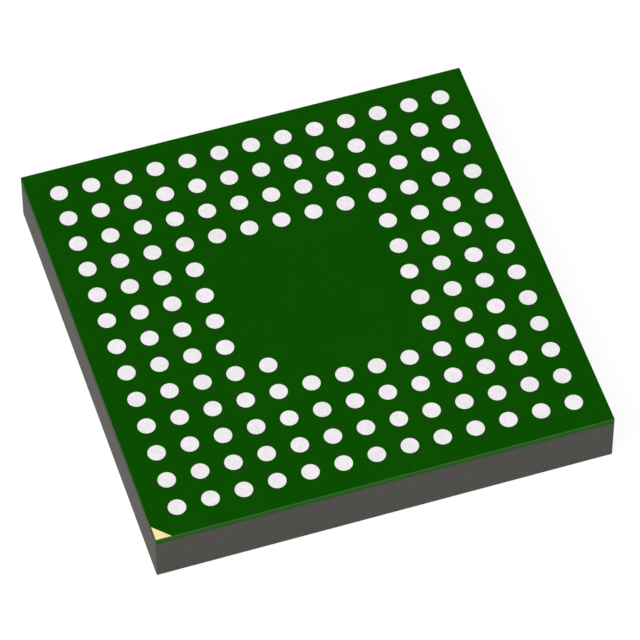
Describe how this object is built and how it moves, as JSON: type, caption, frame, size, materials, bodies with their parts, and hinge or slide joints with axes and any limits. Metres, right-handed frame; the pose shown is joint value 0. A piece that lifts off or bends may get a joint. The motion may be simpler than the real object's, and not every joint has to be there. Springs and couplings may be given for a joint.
{
  "type": "microcontroller",
  "caption": "Thin square land grid array chip package, lying lands up: grey mould cap, green laminate with flush round lands in concentric rings, and an index corner.",
  "frame": {"origin": "middle of the marked face, which is the lowest face as it lies", "axes": "+Z out of the land face, +X along the land rows from column 1, +Y from row A towards row N; the index corner is at -X, -Y"},
  "size_m": [0.009, 0.009, 0.0011],
  "materials": {
    "mould_compound": "matt",
    "solder_mask": "satin",
    "laminate": "sawn",
    "land_metal": "satin",
    "gold_plate": "satin",
    "silicon": "polished",
    "adhesive_film": "matt",
    "gold_wire": "bright"
  },
  "bodies": {
    "root": {"mould_cap": "mould_compound", "solder_mask_inner": "solder_mask", "substrate_core": "laminate", "solder_mask_outer": "solder_mask", "index_mark": "gold_plate", "die": "silicon", "die_attach_film": "adhesive_film", "lands_row_a": "land_metal", "lands_row_b": "land_metal", "lands_row_c": "land_metal", "lands_row_d": "land_metal", "lands_row_e": "land_metal", "lands_row_f": "land_metal", "lands_row_g": "land_metal", "lands_row_h": "land_metal", "lands_row_j": "land_metal", "lands_row_k": "land_metal", "lands_row_l": "land_metal", "lands_row_m": "land_metal", "lands_row_n": "land_metal", "bond_wires_front": "gold_wire", "bond_wires_right": "gold_wire", "bond_wires_back": "gold_wire", "bond_wires_left": "gold_wire"}
  },
  "joints": []
}
